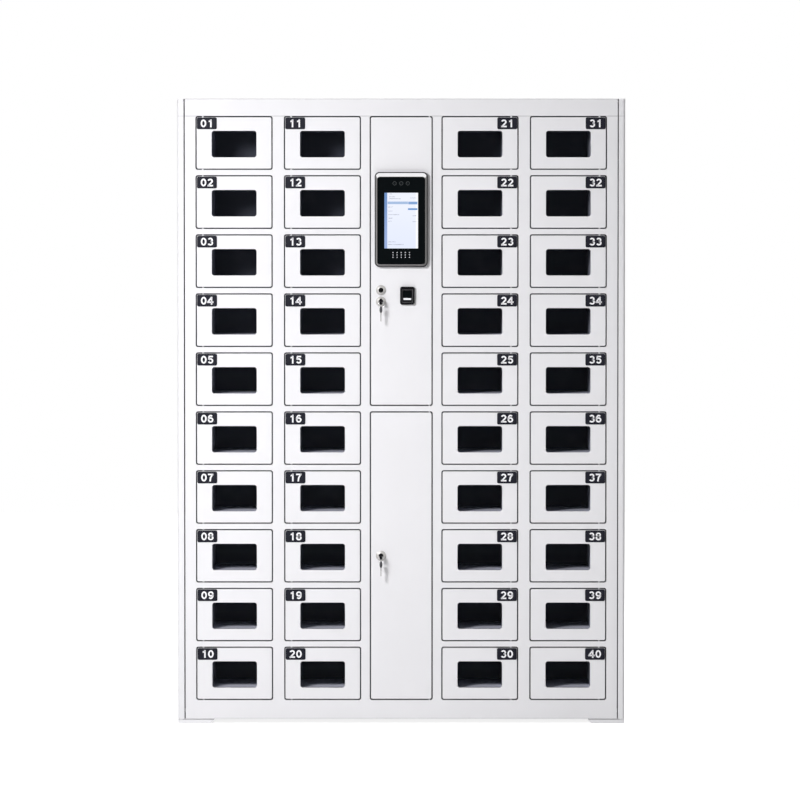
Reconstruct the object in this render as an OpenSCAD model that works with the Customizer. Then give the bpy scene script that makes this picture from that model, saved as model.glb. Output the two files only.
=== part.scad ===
// Steel locker with forty small numbered doors for telephones and a terminal bay in the middle.
// X is the width, Y the depth with the doors at the low end, Z the height, all in millimetres.
// The origin is on the floor, under the middle of the whole object with its keys.

/* [Front openings] */
// Width of a phone door opening
opening_w = 151.5; // [146:0.5:190]
// Height of a phone door opening
opening_h = 105.5; // [102:0.5:130]
// Height of the cross rail between two doors
rail_h = 10.5; // [9:0.5:20]
// Width of the service bay opening
bay_w = 124; // [120:1:180]
// Width of the stile beside the service bay
inner_stile_w = 17; // [16:1:40]
// Width of the stile between two phone columns
middle_stile_w = 22; // [18:1:40]
// Width of the stile at the outer edge
outer_stile_w = 21; // [18:1:40]

/* [Cabinet] */
// Depth of the steel body, front face to back face
body_d = 200; // [180:1:260]
// Height of the runners it stands on
foot_h = 9; // [5:1:30]
// Width of a runner
foot_w = 72; // [40:1:120]
// Height of the sill under the lowest doors
sill_h = 37.5; // [30:0.5:80]
// Height of the header over the highest doors
header_h = 34; // [25:0.5:80]
// Width of the shadow groove beside the outer stile
groove_w = 1.8; // [1:0.1:4]
// Width of the front fold of a side panel
side_fold_w = 13.2; // [8:0.1:25]
// Thickness of the steel sheet
sheet = 1.2; // [1:0.1:1.5]
// Depth of the folded front members
frame_d = 20; // [18:0.5:21]

/* [Doors] */
// Gap all round a door
door_gap = 2.4; // [1.5:0.1:2.5]
// Depth of a door's folded edge
flange_d = 16; // [12:0.5:17]
// Corner radius of a door
corner_r = 3; // [2:0.5:4]
// Diameter of a phone door's hinge pins
pin_d = 4; // [3:0.5:4]
// Hinge pin of a phone door, in from the door's edge
pin_in = 12; // [10:0.5:14]
// Hinge pin of a phone door, behind its face
pin_back = 5; // [4:0.5:6]
// Diameter of a service door's hinge pins
service_pin_d = 3; // [2.5:0.5:3]
// Hinge pin of a service door, in from the door's edge
service_pin_in = 4.2; // [4:0.1:5]
// Hinge pin of a service door, behind its face
service_pin_back = 3; // [3:0.1:3.4]

/* [Windows and number plates] */
// Width of the window in a phone door
window_w = 88; // [70:1:88]
// Height of the window
window_h = 52; // [40:1:52]
// Lower edge of the window, above the opening's lower edge
window_low = 24.5; // [22:0.5:30]
// Corner radius of the window
window_r = 5; // [2:0.5:8]
// Thickness of the clear pane
pane_t = 2; // [1.5:0.5:4]
// Lap of the pane behind the window's edge
pane_lap = 6; // [4:1:8]
// Width of the number plate
plate_w = 39; // [30:1:44]
// Height of the number plate
plate_h = 23; // [18:0.5:24]
// Thickness of the number plate
plate_t = 1.2; // [0.8:0.1:1.5]
// Number plate, in from the door's edges
plate_in = 0.5; // [0.5:0.5:3]
// Corner radius of the number plate
plate_r = 3; // [1.5:0.5:4]

/* [Phone cells] */
// Clear width of a cell
cell_w = 90; // [80:1:92]
// Clear height of a cell
cell_h = 54; // [40:1:56]
// Cell floor above the opening's lower edge
cell_floor = 23.5; // [20:0.5:26]
// Closing plates behind the front face
closing_d = 24; // [23.8:0.1:25]

/* [Latches] */
// Hook of a phone door, in from its free edge
hook_in = 14; // [12:0.5:15]
// Reach of the hook behind the front face
hook_reach = 38; // [34:1:42]
// Height of the hook
hook_h = 14; // [10:1:18]
// Thickness of the hook
hook_t = 2; // [1.5:0.5:3]
// Depth of an electric lock's housing
housing_d = 36; // [30:1:60]
// Height of an electric lock's housing
housing_h = 60; // [40:1:80]
// Width of an electric lock's housing
housing_w = 24.5; // [22:0.5:24.5]

/* [Key locks] */
// Lock axis, left of the middle
lock_x = 39.8; // [36:0.1:42]
// Height of the switch lock above the floor
switch_z = 854.2; // [850:0.1:870]
// Height of the upper door's lock above the floor
upper_lock_z = 831.8; // [700:0.1:832]
// Height of the lower door's lock above the floor
lower_lock_z = 331.25; // [250:0.25:450]
// Diameter of the lock's flange
lock_flange_d = 20; // [17:0.5:20]
// Diameter of the lock's body through the door
lock_body_d = 16; // [14:0.5:16]
// Lock flange, proud of the door
lock_proud = 3.5; // [2:0.5:6]
// Diameter of the turning plug
plug_d = 9.5; // [8:0.5:10]
// Reach of the cam from the lock's axis
cam_reach = 29; // [26:1:29]
// Width of the cam
cam_w = 12; // [10:1:14]
// Diameter of a key's bow
bow_d = 12.6; // [12:0.1:15]
// Thickness of a key's bow in its middle
bow_t = 5.5; // [3.5:0.5:5.5]
// Thickness of a key's bow at its rim
bow_rim_t = 3; // [2.4:0.1:3.5]
// Foremost edge of the keys, proud of the door
key_proud = 30; // [29:1:36]
// Width of a key's blade
blade_w = 6; // [5:0.5:7]
// Thickness of a key's blade
blade_t = 1.8; // [1.4:0.1:2.4]
// Length of the spare key's blade
blade_l = 16.6; // [14:0.1:24]
// Outer diameter of the key ring
ring_d = 14; // [13:0.5:20]
// Thickness of the ring's wire
wire_d = 1.4; // [1:0.1:1.6]

/* [Terminal] */
// Width of the terminal
terminal_w = 104; // [90:1:108]
// Height of the terminal
terminal_h = 186; // [160:1:200]
// Terminal, proud of the door
terminal_d = 16; // [14:1:24]
// Lower edge of the terminal above the floor
terminal_z = 900; // [890:1:940]
// Corner radius of the terminal
terminal_r = 7.5; // [4:0.5:12]
// Width of the dark glass
glass_w = 94; // [80:1:98]
// Bare band over the glass
glass_top = 9.5; // [6:0.5:14]
// Bare band under the glass
glass_foot = 5; // [3:0.5:8]
// Thickness of the glass
glass_t = 2; // [1.5:0.5:3]
// Height of the three sensor lenses above the floor
sensor_z = 1063.8; // [1055:0.1:1070]
// Diameter of a sensor lens
sensor_d = 8; // [5:0.5:10]
// Spacing of the sensor lenses
sensor_pitch = 13; // [11:0.5:20]
// Diameter of a speaker hole
speaker_d = 2.3; // [1.5:0.1:3]
// Lowest speaker holes, above the terminal's lower edge
speaker_low = 18.9; // [14:0.1:24]
// Spacing of the speaker holes across
speaker_pitch = 8.1; // [6:0.1:9]
// Spacing of the speaker holes in height
speaker_rise = 4.65; // [3.5:0.05:5]

/* [Fingerprint reader] */
// Width of the reader
reader_w = 28.5; // [24:0.5:32]
// Height of the reader
reader_h = 35.2; // [30:0.1:40]
// Reader, proud of the door
reader_d = 7; // [4:0.5:12]
// Middle of the reader, right of the middle
reader_x = 12; // [0:0.5:30]
// Middle of the reader above the floor
reader_z = 843.5; // [840:0.5:870]

/* [Back panel] */
// Back panel, sunk behind the edges of the body
back_inset = 2; // [1:0.5:6]
// Diameter of the wall fixing holes in the service bays
wall_hole_d = 9; // [6:0.5:12]
// Wall fixing holes, left and right of the middle
wall_hole_x = 55; // [52:1:60]
// Height of the lower wall fixing holes above the floor
wall_hole_low = 100; // [60:5:250]
// Height of the upper wall fixing holes above the floor
wall_hole_high = 1150; // [1030:5:1180]
// Bore of the cable grommet
grommet_bore_d = 12; // [8:0.5:14]
// Height of the cable grommet above the floor
grommet_z = 150; // [100:1:250]
// Number of vent slots behind the terminal bay
vents = 9; // [3:1:12]

/* [Hidden] */
rows = 10;
columns = 4;
door_names = [for (n = [1:rows * columns]) str("door_", n < 10 ? "0" : "", n)];

seam = 0.1;            // joint between two separate sheets, or a sheet and what is bonded to it
running = 0.05;        // radial clearance of a pin or plug in its hole
past = 1;              // how far a cut runs past what it cuts

white_paint = [0.93, 0.93, 0.94];
dark_plastic = [0.12, 0.12, 0.14];
steel = [0.72, 0.72, 0.73];
clear_plastic = [0.75, 0.82, 0.88, 0.4];

pitch = opening_h + rail_h;
inner_x = bay_w / 2 + inner_stile_w + opening_w / 2;
outer_x = inner_x + opening_w + middle_stile_w;
column_x = [-outer_x, -inner_x, inner_x, outer_x];
frame_half_w = outer_x + opening_w / 2 + outer_stile_w;
half_w = frame_half_w + groove_w + side_fold_w;
low_z = foot_h + sill_h;
high_z = low_z + rows * opening_h + (rows - 1) * rail_h;
cabinet_h = high_z + header_h;
front_y = -(body_d + key_proud) / 2 + key_proud;

service_h = (high_z - low_z - rail_h) / 2;
upper_door_z = low_z + service_h + rail_h;
phone_hinge = opening_w / 2 - door_gap - pin_in;
service_hinge = bay_w / 2 - door_gap - service_pin_in;

// Offsets of the latch parts from a column's middle, towards the free side of its doors
hook_mid = opening_w / 2 - door_gap - hook_in;
slot_near = hook_mid - hook_t / 2 - 2;
slot_far = hook_mid + hook_t / 2 + 6;
slot_h = hook_h + 6;
housing_near = cell_w / 2 + sheet;
latch_z = opening_h / 2;

closing_low = low_z - 8;
closing_high = high_z + 8;
closing_back = closing_d + sheet;
back_out = body_d - back_inset;
back_d = back_out - sheet;
side_lip_d = 15;
bay_wall_x = bay_w / 2 + 8;

plug_back = closing_d - 2.6;
cam_t = 2;
key_hole_d = 4;
key_hole_off = bow_d / 2 - key_hole_d / 2 - 1.2;
ring_r = (ring_d - wire_d) / 2;
ring_depth = -key_proud + bow_d / 2;
bow_mid = ring_depth + key_hole_off;

function row_z(row) = low_z + (rows - 1 - row) * pitch;
function free_side(column) = column < columns / 2 ? 1 : -1;

// A box from x0 to x1, from depth d0 to d1 behind the front face, and from z0 to z1
module block(x0, x1, d0, d1, z0, z1)
    translate([x0, front_y + d0, z0]) cube([x1 - x0, d1 - d0, z1 - z0]);

// Gives a drawing in X and Z the depths d0 to d1
module slab(d0, d1)
    translate([0, front_y + d1, 0]) rotate([90, 0, 0]) linear_extrude(d1 - d0) children();

module rounded(w, h, r) {
    square([w - 2 * r, h], center = true);
    square([w, h - 2 * r], center = true);
    for (x = [-1, 1], z = [-1, 1])
        translate([x * (w / 2 - r), z * (h / 2 - r)]) circle(r, $fn = 32);
}

// A round bar along the depth
module rod(x, z, d0, d1, dia)
    translate([x, front_y + d1, z]) rotate([90, 0, 0]) cylinder(h = d1 - d0, d = dia, $fn = 48);

// A round bar along the height
module upright_rod(x, depth, z0, z1, dia)
    translate([x, front_y + depth, z0]) cylinder(h = z1 - z0, d = dia, $fn = 32);

// A folded sheet leaf that fills an opening of w by h but for its gap; children are cut out
module leaf(w, h) {
    leaf_w = w - 2 * door_gap;
    leaf_h = h - 2 * door_gap;
    difference() {
        slab(0, flange_d) translate([0, h / 2]) rounded(leaf_w, leaf_h, corner_r);
        slab(sheet, flange_d + past) translate([0, h / 2])
            rounded(leaf_w - 2 * sheet, leaf_h - 2 * sheet, corner_r - sheet);
        children();
    }
}

// The two hinge pins of a leaf of height h, ending inside the members above and below it
module hinge_pins(x, depth, h, dia) {
    reach = sheet + 1.5;
    upright_rod(x, depth, -reach, door_gap + sheet, dia);
    upright_rod(x, depth, h - door_gap - sheet, h + reach, dia);
}

module latch_hook() {
    neck = hook_h / 2 - 6;
    foot = 8;
    depth = sheet + seam;
    translate([hook_mid - hook_t / 2, front_y, latch_z]) rotate([90, 0, 90]) linear_extrude(hook_t)
        polygon([
            [depth, -hook_h / 2], [hook_reach, -hook_h / 2], [hook_reach, hook_h / 2],
            [hook_reach - 6, hook_h / 2], [hook_reach - 6, neck], [flange_d, neck],
            [flange_d, hook_h / 2], [depth, hook_h / 2]
        ]);
    block(hook_mid - foot, hook_mid, depth, depth + sheet, latch_z - hook_h / 2, latch_z + hook_h / 2);
}

// One phone door, hinged on its left, over an opening whose lower middle is at the origin
module phone_leaf() {
    window_mid = window_low + window_h / 2;
    plate_x = -opening_w / 2 + door_gap + plate_in + plate_w / 2;
    plate_mid = opening_h - door_gap - plate_in - plate_h / 2;
    color(white_paint) {
        leaf(opening_w, opening_h)
            slab(-past, sheet + past) translate([0, window_mid]) rounded(window_w, window_h, window_r);
        hinge_pins(-phone_hinge, pin_back, opening_h, pin_d);
    }
    color(clear_plastic) slab(sheet + seam, sheet + seam + pane_t) translate([0, window_mid])
        square([window_w + 2 * pane_lap, window_h + 2 * pane_lap], center = true);
    color(dark_plastic) slab(-seam - plate_t, -seam) translate([plate_x, plate_mid])
        rounded(plate_w, plate_h, plate_r);
    color(steel) latch_hook();
}

module phone_door(n) {
    column = floor((n - 1) / rows);
    row = (n - 1) % rows;
    translate([column_x[column], 0, row_z(row)])
        mirror([free_side(column) < 0 ? 1 : 0, 0, 0]) phone_leaf();
}

module service_leaf(z) {
    translate([0, 0, z]) leaf(bay_w, service_h) children();
    translate([0, 0, z]) hinge_pins(service_hinge, service_pin_back, service_h, service_pin_d);
}

module lock_hole(x, z) rod(x, z, -past, sheet + past, lock_body_d + 2 * seam);

module upper_service_door() color(white_paint) service_leaf(upper_door_z)
    translate([0, 0, -upper_door_z]) {
        lock_hole(-lock_x, switch_z);
        lock_hole(-lock_x, upper_lock_z);
    }

module lower_service_door() color(white_paint) service_leaf(low_z)
    translate([0, 0, -low_z]) lock_hole(-lock_x, lower_lock_z);

// Flange, body and nut of a lock, with the bore that its plug turns in
module lock_barrel(z) color(steel) difference() {
    union() {
        rod(-lock_x, z, -lock_proud, 0, lock_flange_d);
        rod(-lock_x, z, -seam, plug_back - 0.4, lock_body_d);
        translate([-lock_x, front_y + sheet + 5, z]) rotate([90, 0, 0])
            cylinder(h = 5, d = lock_flange_d + 1.5, $fn = 6);
    }
    rod(-lock_x, z, -lock_proud - past, plug_back + past, plug_d + 2 * running);
}

module upper_lock_barrels() {
    lock_barrel(switch_z);
    lock_barrel(upper_lock_z);
}

module lower_lock_barrel() lock_barrel(lower_lock_z);

module switch_plug() color(dark_plastic) difference() {
    slot_half = blade_t / 2 + seam;
    rod(-lock_x, switch_z, -lock_proud - 0.2, plug_back, plug_d);
    block(-lock_x - slot_half, -lock_x + slot_half, -lock_proud - past, 6,
        switch_z - blade_w / 2, switch_z + blade_w / 2);
}

// A key's moulded bow, seen edge-on from the front, thinner at its rim, with the hole for the ring
module bow(x, depth, z, hole_depth, hole_z) {
    half = bow_t / 2;
    rim = bow_rim_t / 2;
    color(dark_plastic) difference() {
        translate([x, front_y + depth, z]) rotate([0, 90, 0]) rotate_extrude($fn = 48)
            polygon([
                [0, -half], [bow_d / 5, -half], [bow_d / 2, -rim],
                [bow_d / 2, rim], [bow_d / 5, half], [0, half]
            ]);
        translate([x - half - past, front_y + hole_depth, hole_z]) rotate([0, 90, 0])
            cylinder(h = bow_t + 2 * past, d = key_hole_d, $fn = 32);
    }
}

// Plug of a door lock with its key in it and its cam hanging down, clear of the stile
module keyed_plug(z) {
    cam_d = plug_back + seam;
    color(dark_plastic) rod(-lock_x, z, -lock_proud - 0.2, plug_back, plug_d);
    color(steel) {
        block(-lock_x - cam_w / 2, -lock_x + cam_w / 2, cam_d, cam_d + cam_t,
            z - cam_reach, z + cam_w / 2);
        rod(-lock_x, z, cam_d + cam_t, cam_d + cam_t + 2.5, plug_d - 1);
        block(-lock_x - blade_t / 2, -lock_x + blade_t / 2, bow_mid + bow_d / 2 - 1, -lock_proud,
            z - blade_w / 2, z + blade_w / 2);
    }
    bow(-lock_x, bow_mid, z, ring_depth, z);
}

module upper_lock_plug() keyed_plug(upper_lock_z);

module lower_lock_plug() keyed_plug(lower_lock_z);

// Ring through the inserted key's bow, and the spare key hanging from it
module key_ring(z) {
    spare_hole_z = z - 2 * ring_r;
    spare_bow_z = spare_hole_z - key_hole_off;
    color(steel) {
        translate([-lock_x, front_y + ring_depth, z - ring_r]) rotate([90, 0, 0])
            rotate_extrude($fn = 64) translate([ring_r, 0]) circle(d = wire_d, $fn = 24);
        block(-lock_x - blade_t / 2, -lock_x + blade_t / 2, ring_depth - blade_w / 2,
            ring_depth + blade_w / 2, spare_bow_z - bow_d / 2 - blade_l, spare_bow_z - bow_d / 2 + 1);
    }
    bow(-lock_x, ring_depth, spare_bow_z, ring_depth, spare_hole_z);
}

module upper_key_ring() key_ring(upper_lock_z);

module lower_key_ring() key_ring(lower_lock_z);

module glass_outline(grow) {
    glass_h = terminal_h - glass_top - glass_foot;
    translate([0, terminal_z + glass_foot + glass_h / 2])
        rounded(glass_w + 2 * grow, glass_h + 2 * grow, terminal_r - 2);
}

module face_terminal() color(steel) difference() {
    slab(-terminal_d, 0) translate([0, terminal_z + terminal_h / 2])
        rounded(terminal_w, terminal_h, terminal_r);
    slab(-terminal_d - past, -terminal_d + glass_t) glass_outline(seam);
}

module terminal_glass() color(dark_plastic) difference() {
    union() {
        slab(-terminal_d, -terminal_d + glass_t) glass_outline(0);
        for (i = [-1:1]) rod(i * sensor_pitch, sensor_z, -terminal_d - 0.3, -terminal_d + 1, sensor_d);
    }
    for (column = [-2:2], row = [0:2])
        rod(column * speaker_pitch, terminal_z + speaker_low + row * speaker_rise,
            -terminal_d - past, -terminal_d + 1, speaker_d);
}

module fingerprint_reader() color(dark_plastic) difference() {
    slab(-reader_d, 0) translate([reader_x, reader_z]) rounded(reader_w, reader_h, 3.5);
    slab(-reader_d - past, -reader_d + 2) translate([reader_x, reader_z + 4])
        rounded(reader_w - 9, reader_h - 15, 3);
}

// Channel standing upright, open to the back
module stile(x0, x1) difference() {
    block(x0, x1, 0, frame_d, low_z + seam, high_z - seam);
    block(x0 + sheet, x1 - sheet, sheet, frame_d + past, low_z - past, high_z + past);
}

// Channel lying level, open to the back
module level_channel(x0, x1, z0, z1) difference() {
    block(x0, x1, 0, frame_d, z0, z1);
    block(x0 - past, x1 + past, sheet, frame_d + past, z0 + sheet, z1 - sheet);
}

// Hinge pin holes of every column, through whatever lies between z0 and z1
module pin_holes(z0, z1) {
    for (column = [0:columns - 1])
        upright_rod(column_x[column] - free_side(column) * phone_hinge, pin_back, z0, z1,
            pin_d + 2 * running);
    upright_rod(service_hinge, service_pin_back, z0, z1, service_pin_d + 2 * running);
}

module front_grid() color(white_paint) {
    inner_edge = bay_w / 2;
    for (side = [0, 1]) mirror([side, 0, 0]) {
        stile(inner_edge, inner_edge + inner_stile_w);
        stile(inner_x + opening_w / 2, outer_x - opening_w / 2);
        stile(outer_x + opening_w / 2, frame_half_w);
    }
    for (row = [1:rows - 1], column = [0:columns - 1]) difference() {
        level_channel(column_x[column] - opening_w / 2 + seam, column_x[column] + opening_w / 2 - seam,
            row_z(row) + opening_h, row_z(row) + pitch);
        pin_holes(row_z(row), row_z(row) + pitch + past);
    }
    difference() {
        level_channel(-bay_w / 2 + seam, bay_w / 2 - seam, low_z + service_h, upper_door_z);
        pin_holes(low_z, upper_door_z + past);
    }
    difference() {
        level_channel(-frame_half_w, frame_half_w, high_z, cabinet_h - sheet);
        pin_holes(high_z - past, high_z + 2 * sheet);
    }
    difference() {
        level_channel(-frame_half_w, frame_half_w, foot_h + sheet, low_z);
        pin_holes(low_z - 2 * sheet, low_z + past);
    }
}

// Side panel on the right: skin, folds at the front and the back, a lip beside the groove, and caps
module side_panel() {
    inner = half_w - sheet;
    block(inner, half_w, 0, body_d, foot_h, cabinet_h);
    block(frame_half_w + groove_w, half_w, 0, sheet, foot_h, cabinet_h);
    block(frame_half_w + groove_w, frame_half_w + groove_w + sheet, 0, side_lip_d, foot_h, cabinet_h);
    for (z = [foot_h, cabinet_h - sheet])
        block(frame_half_w + groove_w, half_w, 0, side_lip_d, z, z + sheet);
    block(half_w - 20, half_w, back_d - sheet, back_d, foot_h + 2 * sheet, cabinet_h - 2 * sheet);
}

module cabinet_shell() color(white_paint) {
    plate_half = half_w - sheet - seam;
    for (side = [0, 1]) mirror([side, 0, 0]) {
        side_panel();
        block(bay_wall_x, bay_wall_x + sheet, closing_back, back_d,
            foot_h + sheet + seam, cabinet_h - sheet - seam);
    }
    for (z = [foot_h, cabinet_h - sheet]) difference() {
        block(-plate_half, plate_half, 0, body_d, z, z + sheet);
        for (side = [0, 1]) mirror([side, 0, 0])
            block(frame_half_w + groove_w - seam, half_w, -past, side_lip_d + seam,
                z - past, z + sheet + past);
    }
    block(-bay_wall_x + seam, bay_wall_x - seam, closing_back, back_d,
        upper_door_z - rail_h / 2, upper_door_z - rail_h / 2 + sheet);
}

// Closing plate from x0 to x1, held off the stile behind the lips at lip_x; slots at slot_x
module closing_plate(x0, x1, lip_x, slot_x) difference() {
    union() {
        block(x0, x1, closing_d, closing_back, closing_low, closing_high);
        for (x = lip_x) block(x, x + sheet, frame_d, closing_back, low_z + seam, high_z - seam);
    }
    for (row = [0:rows - 1], x = slot_x)
        block(x - slot_far, x - slot_near, closing_d - past, closing_back + past,
            row_z(row) + latch_z - slot_h / 2, row_z(row) + latch_z + slot_h / 2);
}

// Floor of one cell, ceiling of the next one down and the plate that joins them in front
module cell_shelf(x, z0, z1) difference() {
    half = cell_w / 2 - seam;
    block(x - half, x + half, closing_d, back_d, z0, z1);
    block(x - half - past, x + half + past, closing_back, back_d + past, z0 + sheet, z1 - sheet);
}

module phone_cells() color(steel) {
    half = cell_w / 2;
    stile_mid = (inner_x + outer_x) / 2;
    for (side = [0, 1]) mirror([side, 0, 0]) {
        closing_plate(bay_wall_x, inner_x - half, [bay_wall_x + 2, bay_w / 2 + inner_stile_w - 2 * sheet],
            [inner_x]);
        closing_plate(inner_x + half, outer_x - half, [stile_mid - 8, stile_mid + 8 - sheet], [outer_x]);
        closing_plate(outer_x + half, frame_half_w - 1, [outer_x + opening_w / 2 + 1, frame_half_w - 3], []);
    }
    for (x = column_x) {
        for (edge = [x - half - sheet, x + half])
            block(edge, edge + sheet, closing_back + seam, back_d, closing_low, closing_high);
        for (row = [1:rows - 1])
            cell_shelf(x, row_z(row) + cell_floor + cell_h, row_z(row) + pitch + cell_floor);
        cell_shelf(x, closing_low, low_z + cell_floor);
        cell_shelf(x, row_z(0) + cell_floor + cell_h, closing_high);
    }
}

// Housing of one lock over an opening whose lower middle is at the origin, with its mouth
module lock_housing() difference() {
    block(housing_near, housing_near + housing_w, closing_back, closing_back + housing_d,
        latch_z - housing_h / 2, latch_z + housing_h / 2);
    block(slot_near, slot_far, closing_back - past, closing_back + 20,
        latch_z - slot_h / 2, latch_z + slot_h / 2);
}

module electric_locks() color(dark_plastic)
    for (column = [0:columns - 1], row = [0:rows - 1])
        translate([column_x[column], 0, row_z(row)])
            mirror([free_side(column) < 0 ? 1 : 0, 0, 0]) lock_housing();

module wall_holes() {
    for (x = [-wall_hole_x, wall_hole_x], z = [wall_hole_low, wall_hole_high])
        rod(x, z, back_d - past, back_out + past, wall_hole_d);
}

module back_panel() color(white_paint) difference() {
    block(-half_w + sheet, half_w - sheet, back_d, back_out, foot_h + sheet, cabinet_h - sheet);
    wall_holes();
    rod(0, grommet_z, back_d - past, back_out + past, grommet_bore_d + 4);
    for (i = [0:vents - 1])
        block(-40, 40, back_d - past, back_out + past, high_z - 40 - i * 10, high_z - 36 - i * 10);
}

module cable_grommet() color(dark_plastic) difference() {
    union() {
        rod(0, grommet_z, back_d - 3, back_d, grommet_bore_d + 10);
        rod(0, grommet_z, back_d - 1, back_out, grommet_bore_d + 3.9);
    }
    rod(0, grommet_z, back_d - 3 - past, back_out + past, grommet_bore_d);
}

// Controller of the terminal above, and the power supply below, on the back panel
module control_electronics() color(steel) {
    block(-50, 50, back_d - 38, back_d, upper_door_z + 210, upper_door_z + 390);
    block(-45, 45, back_d - 48, back_d, low_z + 250, low_z + 430);
}

// Two runners from front to back with slanted inner ends
module feet() color(white_paint)
    for (side = [0, 1]) mirror([side, 0, 0])
        slab(0, body_d) polygon([
            [half_w, 0], [half_w, foot_h], [half_w - foot_w, foot_h], [half_w - foot_w + 7, 0]
        ]);

for (n = [1:rows * columns])
    phone_door(n);
upper_service_door();
lower_service_door();
face_terminal();
terminal_glass();
fingerprint_reader();
upper_lock_barrels();
lower_lock_barrel();
switch_plug();
upper_lock_plug();
lower_lock_plug();
upper_key_ring();
lower_key_ring();
cabinet_shell();
front_grid();
phone_cells();
back_panel();
electric_locks();
feet();
control_electronics();
cable_grommet();
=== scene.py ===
"""Looks of a steel phone locker: powder-coated sheet, window doors, terminal, locks and keys.

X is the width, Y the depth with the doors at the low end, Z the height. Blender units are metres.
"""
import math

import bmesh
import bpy
from mathutils import Matrix, Vector


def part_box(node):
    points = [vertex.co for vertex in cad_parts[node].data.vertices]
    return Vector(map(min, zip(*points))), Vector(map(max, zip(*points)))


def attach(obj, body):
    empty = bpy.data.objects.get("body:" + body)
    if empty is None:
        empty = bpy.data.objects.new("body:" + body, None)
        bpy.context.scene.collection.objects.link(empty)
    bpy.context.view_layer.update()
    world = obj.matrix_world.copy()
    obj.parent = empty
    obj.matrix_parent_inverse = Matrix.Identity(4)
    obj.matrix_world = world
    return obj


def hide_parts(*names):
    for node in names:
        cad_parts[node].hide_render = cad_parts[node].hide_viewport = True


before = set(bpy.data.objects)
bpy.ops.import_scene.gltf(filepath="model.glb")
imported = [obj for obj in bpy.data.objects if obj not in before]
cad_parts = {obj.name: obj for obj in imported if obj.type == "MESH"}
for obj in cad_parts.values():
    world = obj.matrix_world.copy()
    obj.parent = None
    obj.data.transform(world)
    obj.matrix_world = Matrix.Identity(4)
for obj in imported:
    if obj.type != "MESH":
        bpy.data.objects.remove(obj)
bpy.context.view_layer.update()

MM = 0.001
DOORS = range(1, 41)
ROWS = 10

# Places read from the frame
GRID_LOW, GRID_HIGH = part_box("front_grid")
FRONT = GRID_LOW.y
SHELL_LOW, SHELL_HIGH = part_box("cabinet_shell")
BACK_LOW, BACK_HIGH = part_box("back_panel")
TERMINAL_LOW, TERMINAL_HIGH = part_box("face_terminal")
GLASS_LOW, GLASS_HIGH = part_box("terminal_glass")
GLASS_FACE = TERMINAL_LOW.y + 0.3 * MM
READER_LOW, READER_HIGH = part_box("fingerprint_reader")

# Sizes of the doors and the sheet metal, as the source has them
SHEET = 1.2 * MM
DOOR_GAP = 2.4 * MM
DOOR_FOLD = 16 * MM
DOOR_CORNER = 3 * MM
OPENING_CORNER = 4.5 * MM
PIN_REACH = 2.7 * MM
WINDOW = Vector((88, 52)) * MM
WINDOW_DROP = 2.25 * MM
WINDOW_CORNER = 5 * MM
PLATE = Vector((39, 23)) * MM
PLATE_THICK = 1.2 * MM
PLATE_INSET = 0.5 * MM
SEAM = 0.1 * MM
GROOVE = 1.8 * MM
LIP_DEPTH = 15 * MM
HEADER_SEAM_Z = GRID_HIGH.z - 32.9 * MM
BAY_WALL_X = 70 * MM
BAY_WALL_FRONT = FRONT + 25.2 * MM
BAY_SHELF_Z = 621.25 * MM

# The plates' figures, in millimetres
FIGURE_STROKE = 3.0
FIGURE_PITCH = 13.2

# Locks, keys and rings
LOCK_X = -39.8 * MM
SWITCH_Z, UPPER_LOCK_Z, LOWER_LOCK_Z = 854.2 * MM, 831.8 * MM, 331.25 * MM
PLUG_FRONT, PLUG_BACK = FRONT - 3.6 * MM, FRONT + 21.4 * MM
BOW_RADIUS = 6.3 * MM
EYE_OFFSET = 3.1 * MM
LOCKED_BOW_Y = FRONT - 20.6 * MM
RING_RADIUS = 6.3 * MM


def door_name(number):
    return f"door_{number:02d}"


def hinged_left(number):
    return number <= 2 * ROWS


def leaf_box(node):
    """Low and high corner of a door's leaf, without its hinge pins and what stands out of it."""
    low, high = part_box(node)
    reach = Vector((0, 0, PIN_REACH + DOOR_GAP))
    low, high = low + reach, high - reach
    low.y, high.y = FRONT, FRONT + DOOR_FOLD
    return low, high


def front_middle(low, high):
    """The middle of a box's front face."""
    return Vector(((low.x + high.x) / 2, low.y, (low.z + high.z) / 2))


def front_size(low, high):
    """Width and height of a box's front face."""
    return high.x - low.x, high.z - low.z


# ---------------------------------------------------------------- camera

def place_camera():
    """A long lens in front, a little above the middle of the locker."""
    distance, height, aside = 9.3, 0.963, -0.0024
    looks_down = 2.0
    data = bpy.data.cameras.new("camera")
    data.sensor_width = 36
    data.lens = 212.9
    camera = bpy.data.objects.new("camera", data)
    camera.location = (aside, FRONT - distance, height)
    camera.rotation_euler = (math.radians(90 - looks_down), 0, 0)
    bpy.context.scene.collection.objects.link(camera)
    bpy.context.scene.camera = camera


# ---------------------------------------------------------------- finishes

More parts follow.
